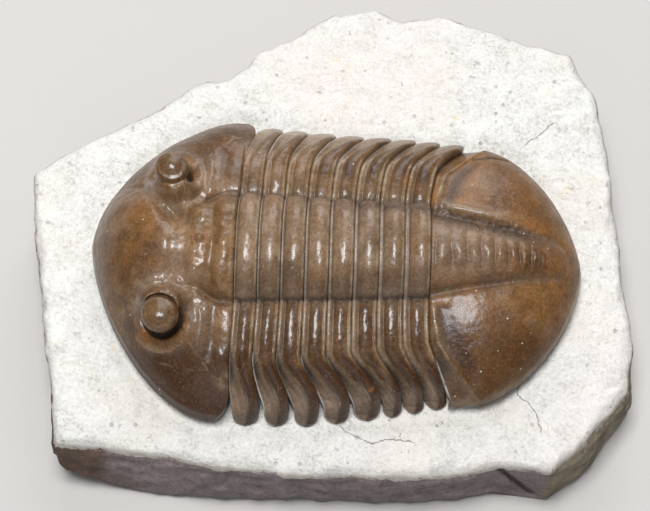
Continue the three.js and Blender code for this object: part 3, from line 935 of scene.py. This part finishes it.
def buildTail(material):
    t = tail
    bm = gridSheet(t["rows"], t["columns"])
    marks = addMarks(bm)
    for v in bm.verts:
        side = t["corner"] * math.sin(v.co.y * math.pi / 2)
        front = jointX(thorax["count"], side) + thorax["gap"]
        rear = t["centre"] + t["length"] * outlineLength(abs(side) / t["half"])
        x = mix(front, rear, 1 - (1 - (v.co.x + 1) / 2) ** 1.2)
        r = tailRelief(x, side)
        px, py = onBody(x, side)
        r.z += 0.14 * rough(px, py, 3.8, 3) + 0.03 * rough(px, py, 1.1, 6) + 0.012 * rough(px, py, 0.5, 9)
        v.co = (px, py, r.z)
        setMarks(v, marks, r)
    closeBelow(bm, body["foot"], (t["centre"], body["midlineY"]), 0.5, marks["dirt"])
    makePiece(bm, "tail_shield", "pygidium", material)


# slab of limestone
slab = {
    "outline": [
        (-44, 7.6), (-42.4, -3), (-39, -21), (-36.4, -32.8), (-30, -33.2), (-16, -34.7), (-5, -35.8),
        (6, -35.5), (16, -35.1), (25.5, -33.2), (32.4, -33.7), (36, -30.7), (43.4, -21.8), (44.1, -14.5),
        (42.4, 1), (41, 15), (39.4, 23.4), (35.7, 31.1), (28, 33), (21.6, 35.2), (15.6, 36.7),
        (9.9, 35.3), (5.6, 37.3), (-1.3, 35.8), (-5.1, 33.5), (-11.4, 29.1), (-15.7, 24.8),
        (-20.5, 23.3), (-27.7, 18), (-37.3, 12.3),
    ],
    "halfLength": 44, "halfWidth": 37,
    "flare": 1.3, "leftFlare": 2.0, "rightFlare": 2.2,      # how far the sides run out at the foot
    "notch": [(23.6, 14.6), (31.2, 2.0)],       # a groove across the near face, seen from the front
    "breaks": [             # lower edges broken off: a point, a heading and a downward slope, in degrees
        (-38, -32, 5, 225, 45), (45.5, -25.5, 3.5, -35, 45), (0, -37.4, 1.5, -90, 55),
        (36, 31, 5, 45, 45), (-31, 16.5, 4, 122, 40),
    ],
    "cracks": [
        [(27.2, -20.6), (28.2, -23.0), (30.6, -25.6), (31.2, -28.5)],
        [(3.2, -29.0), (5.2, -30.3), (7.6, -30.9), (10.5, -30.3), (13.0, -30.8)],
        [(29.0, 15.5), (33.0, 19.0)],
    ],
    "columns": 250, "rows": 220, "wallSteps": 26,
}


# from the middle of the slab to its outline, in a direction
def outlineRadius(angle):
    dx, dy = math.cos(angle), math.sin(angle)
    points = slab["outline"]
    for (ax, ay), (bx, by) in zip(points, points[1:] + points[:1]):
        ex, ey = bx - ax, by - ay
        cross = dx * ey - dy * ex
        if abs(cross) < 1e-9:
            continue
        radius = (ax * ey - ay * ex) / cross
        share = (ax * dy - ay * dx) / cross
        if radius > 0 and -1e-6 <= share <= 1 + 1e-6:
            return radius
    return slab["halfWidth"]


# how far outside the trilobite's outline a point of the rock is
def outsideBody(x, y):
    side = y - midline(x)
    a = abs(side)
    x -= body["skew"] * side * (a - body["skewTurn"])
    if x < head["centre"]:
        return (outlineReach((head["centre"] - x) / head["length"], a / head["half"]) - 1) * 19
    if x > tail["centre"]:
        return (outlineReach((x - tail["centre"]) / tail["length"], a / tail["half"]) - 1) * 15
    return a - mix(head["half"], tail["half"], ramp(x, -13, 20))


# signed distance to the nearest crack, so that the line stays fine between the mesh's points
def crackOffset(x, y):
    best = 3.0
    for path in slab["cracks"]:
        for (ax, ay), (bx, by) in zip(path, path[1:]):
            away = awayFrom([(ax, ay), (bx, by)], x, y)
            if away < abs(best):
                best = math.copysign(away, (bx - ax) * (y - ay) - (by - ay) * (x - ax))
    return best


def slabHeightAt(x, y, fromEdge):
    z = slabTop + 0.35 * rough(x, y, 17, 1) + 0.2 * rough(x, y, 6, 2)
    z += 0.14 * rough(x, y, 2.3, 3) + 0.09 * rough(x, y, 0.9, 4)
    pit = noise.noise(Vector((x / 1.3, y / 1.3, 8.0)))
    z -= 0.35 * ease(pit, 0.42, 0.62)
    outside = outsideBody(x, y)
    z -= 0.45 * bell(outside, 0.7, 1.0)
    z += 0.3 * ease(outside, 1.5, 3.0) * (1 - ease(outside, 3.0, 7.0)) * (0.4 + rough(x, y, 4, 7))
    if outside < 0:
        z = min(z, slabTop - 0.1)
    chip = 1.6 + 1.6 * rough(x, y, 7, 5) + 0.8 * rough(x, y, 2.2, 6)
    if fromEdge < chip:
        z -= (1 - fromEdge / chip) ** 2 * (1.0 + 1.4 * abs(rough(x, y, 5, 9)))
    return z


# takes off the lower edges of the slab along its sloping breaks
def breakOff(point, ripple):
    for bx, by, bz, heading, slope in slab["breaks"]:
        turn, dip = math.radians(heading), math.radians(slope)
        face = Vector((math.cos(turn) * math.cos(dip), math.sin(turn) * math.cos(dip), -math.sin(dip)))
        over = (point - Vector((bx, by, bz))).dot(face) - 0.5 * ripple
        if over > 0 and point.z > 0.01:
            point -= face * over
        elif over > 0:
            point -= Vector((face.x, face.y, 0)).normalized() * over / math.cos(dip)


# roughens and flares a point of the slab's sides, and says how deep in the groove it lies, which sets the
# painted shade there
def shapeSide(point):
    down = 1 - point.z / slabTop
    outward = Vector((point.x, point.y, 0)).normalized()
    facets = noise.cell_vector(Vector((point.x / 9, point.y / 9, point.z / 6))).x
    ripple = noise.noise(Vector((point.x / 3.5, point.y / 3.5, point.z / 2.2)))
    fine = noise.noise(Vector((point.x / 1.2, point.y / 1.2, point.z / 1.0)))
    hold = math.sin(math.pi * min(1.0, down * 1.1)) ** 0.5
    nearSide = ramp(-point.y, 15, 30)
    groove = nearSide * bell(awayFrom(slab["notch"], point.x, point.z), 0, 0.6)
    point -= outward * 0.9 * groove
    bulge = (0.25 * facets + 0.7 * ripple + 0.22 * fine) * hold
    point += outward * (bulge - 1.0 * (1 - nearSide) * down ** 0.5)
    point.y -= (slab["flare"] + slab["leftFlare"] * ramp(-point.x, 5, 20)) * down * nearSide
    point.x += slab["rightFlare"] * ramp(point.x, 30, 37) * ramp(-point.y, 8, 18) * down ** 0.7
    breakOff(point, ripple)
    return groove


def buildSlab(material):
    bm = gridSheet(slab["columns"], slab["rows"])
    sideMark = bm.verts.layers.float.new("side")
    crackMark = bm.verts.layers.float.new("crack")
    offsetMark = bm.verts.layers.float.new("crackOffset")
    grooveMark = bm.verts.layers.float.new("groove")
    for v in bm.verts:
        share = max(abs(v.co.x), abs(v.co.y))
        angle = math.atan2(v.co.y * slab["halfWidth"], v.co.x * slab["halfLength"])
        roundX, roundY = math.cos(angle) * 40, math.sin(angle) * 40
        ragged = 0.4 * rough(roundX, roundY, 6, 11) + 0.25 * rough(roundX, roundY, 1.9, 12) + 0.3
        radius = outlineRadius(angle) + ragged
        x, y = math.cos(angle) * radius * share, math.sin(angle) * radius * share
        fromEdge = radius * (1 - share)
        v.co = (x, y, slabHeightAt(x, y, fromEdge))
        v[sideMark] = 0.42 * (1 - ease(fromEdge, 0.0, 1.1))
        v[offsetMark] = crackOffset(x, y)
        v[crackMark] = bell(v[offsetMark], 0, 1.2)
    rim = [e for e in bm.edges if e.is_boundary]
    steps = slab["wallSteps"]
    for step in range(1, steps + 1):
        made = bmesh.ops.extrude_edge_only(bm, edges=rim)["geom"]
        rim = [g for g in made if isinstance(g, bmesh.types.BMEdge) and g.is_boundary]
        for v in (g for g in made if isinstance(g, bmesh.types.BMVert)):
            v.co.z *= (steps - step) / (steps - step + 1)
            v[sideMark] = ramp(step, 0.0, 2.6)
    for v in bm.verts:
        if v[sideMark] >= 0.5:
            v[grooveMark] = shapeSide(v.co)
    bmesh.ops.edgeloop_fill(bm, edges=rim)
    bmesh.ops.recalc_face_normals(bm, faces=bm.faces)
    makePiece(bm, "rock_slab", "limestone_matrix", material)


buildSlab(limestoneMaterial())
buildHead(calcite("head_calcite", headLook))
thoraxMaterial = calcite("thorax_calcite", thoraxLook)
for number in range(thorax["count"]):
    buildSegment(number, thoraxMaterial)
buildTail(calcite("tail_calcite", tailLook))


# plain studio
studio = {
    "floor": (0.5, 0.485, 0.47), "sky": (0.92, 0.95, 1.0), "skyStrength": 0.17,
    "aim": (0.0, -0.004, 0.015),
    "lamps": {              # place, power, size, share of it seen in reflections
        "overhead": ((-0.03, 0.01, 0.45), 2.25, 0.16, 1.0),
        "far": ((0.05, 0.5, 0.3), 1.7, 0.4, 0.1),
        "near": ((-0.1, -0.45, 0.25), 0.35, 0.4, 0.5),
    },
}


def areaLight(name, place, power, size, gloss, target):
    data = bpy.data.lights.new(name, "AREA")
    data.specular_factor = gloss
    data.energy = power
    data.size = size
    lamp = bpy.data.objects.new(name, data)
    lamp.location = place
    lamp.rotation_euler = (Vector(target) - Vector(place)).to_track_quat("-Z", "Y").to_euler()
    bpy.context.scene.collection.objects.link(lamp)


def buildStudio():
    bm = bmesh.new()
    bmesh.ops.create_grid(bm, x_segments=1, y_segments=1, size=3.0)
    mesh = bpy.data.meshes.new("floor")
    bm.to_mesh(mesh)
    bm.free()
    floor = bpy.data.objects.new("floor", mesh)
    bpy.context.scene.collection.objects.link(floor)
    g = Graph("floor_paper")
    lighter = tuple(c * 1.03 for c in studio["floor"])
    tint = g.ramped(g.noise(4, 3.0), [(0.3, studio["floor"]), (0.7, lighter)])
    mesh.materials.append(g.finish(tint, 0.9, g.bump(g.noise(900), 0.05, 0.0002), {}))
    for name, lamp in studio["lamps"].items():
        areaLight(name, *lamp, studio["aim"])
    world = bpy.data.worlds.new("sky")
    world.use_nodes = True
    background = world.node_tree.nodes["Background"]
    background.inputs[0].default_value = (*studio["sky"], 1.0)
    background.inputs[1].default_value = studio["skyStrength"]
    bpy.context.scene.world = world
    bpy.context.scene.view_settings.view_transform = "Standard"


# camera above the near side, looking down at the slab
view = {
    "azimuth": 2.7, "elevation": 70.0, "distance": 0.225, "target": (-0.0002, -0.0039, 0.014),
    "lens": 85.957, "sensor": 36.0, "nearest": 0.01,
}


def buildCamera():
    data = bpy.data.cameras.new("camera")
    data.lens = view["lens"]
    data.sensor_width = view["sensor"]
    data.clip_start = view["nearest"]
    camera = bpy.data.objects.new("camera", data)
    turn, lift = math.radians(view["azimuth"]), math.radians(view["elevation"])
    back = Vector((math.sin(turn) * math.cos(lift), -math.cos(turn) * math.cos(lift), math.sin(lift)))
    target = Vector(view["target"])
    camera.location = target + back * view["distance"]
    camera.rotation_euler = (-back).to_track_quat("-Z", "Y").to_euler()
    bpy.context.scene.collection.objects.link(camera)
    bpy.context.scene.camera = camera


buildStudio()
buildCamera()
print("studio and camera in place")
